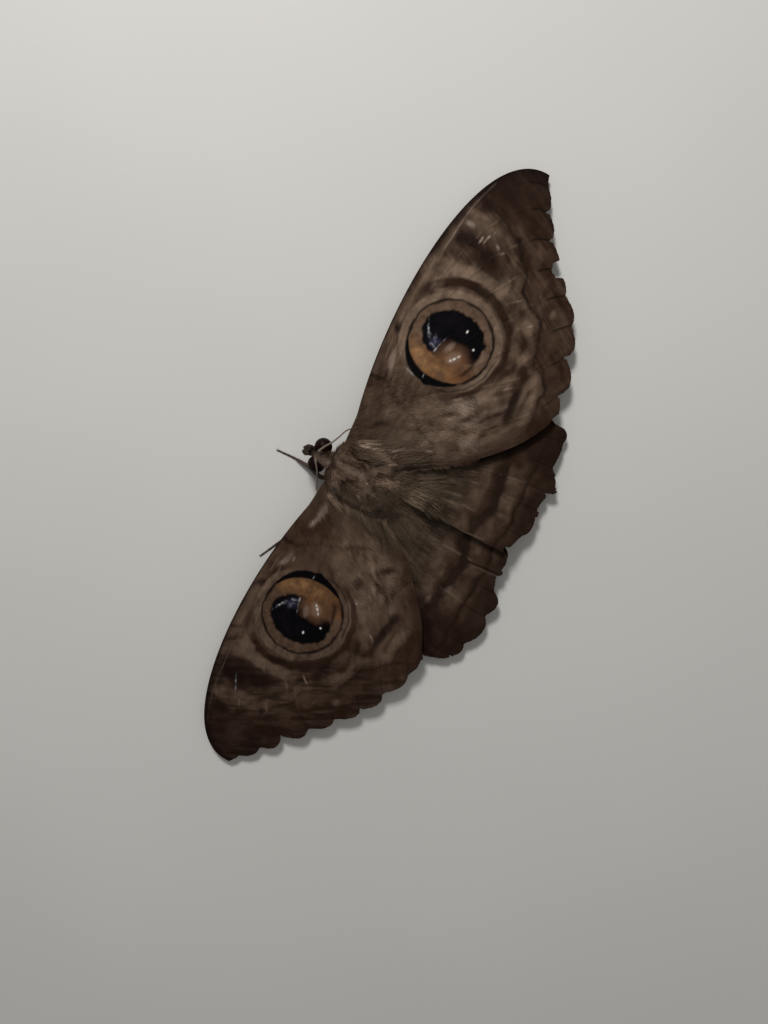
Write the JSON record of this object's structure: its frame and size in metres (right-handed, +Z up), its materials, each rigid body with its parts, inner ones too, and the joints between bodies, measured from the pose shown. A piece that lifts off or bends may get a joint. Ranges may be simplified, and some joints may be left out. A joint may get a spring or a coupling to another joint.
{
  "type": "owl moth model",
  "caption": "Life-size model of a large eyespotted moth at rest, wings spread flat over its legs, head up front.",
  "frame": {"origin": "on the floor under the middle of the plan box", "axes": "+X to the moth's left, +Y from head to tail, +Z up from the floor it stands on"},
  "size_m": [0.11, 0.0442, 0.0087],
  "materials": {
    "body_scales": "soft grey-brown fur",
    "wing_scales": "matt brown scales with dark and tan marks",
    "eye": "glossy black-brown",
    "palp_scales": "short dark brush",
    "feeler": "pale brown, finely ringed",
    "leg_scales": "close grey-brown scales"
  },
  "bodies": {
    "root": {"head": "body_scales", "eye_left": "eye", "eye_right": "eye", "palp_left": "palp_scales", "palp_right": "palp_scales", "antenna_left": "feeler", "antenna_right": "feeler", "thorax": "body_scales", "abdomen": "body_scales", "forewing_left": "wing_scales", "forewing_right": "wing_scales", "hindwing_left": "wing_scales", "hindwing_right": "wing_scales", "leg_front_left": "leg_scales", "leg_front_right": "leg_scales", "leg_middle_left": "leg_scales", "leg_middle_right": "leg_scales", "leg_hind_left": "leg_scales", "leg_hind_right": "leg_scales"}
  },
  "joints": []
}
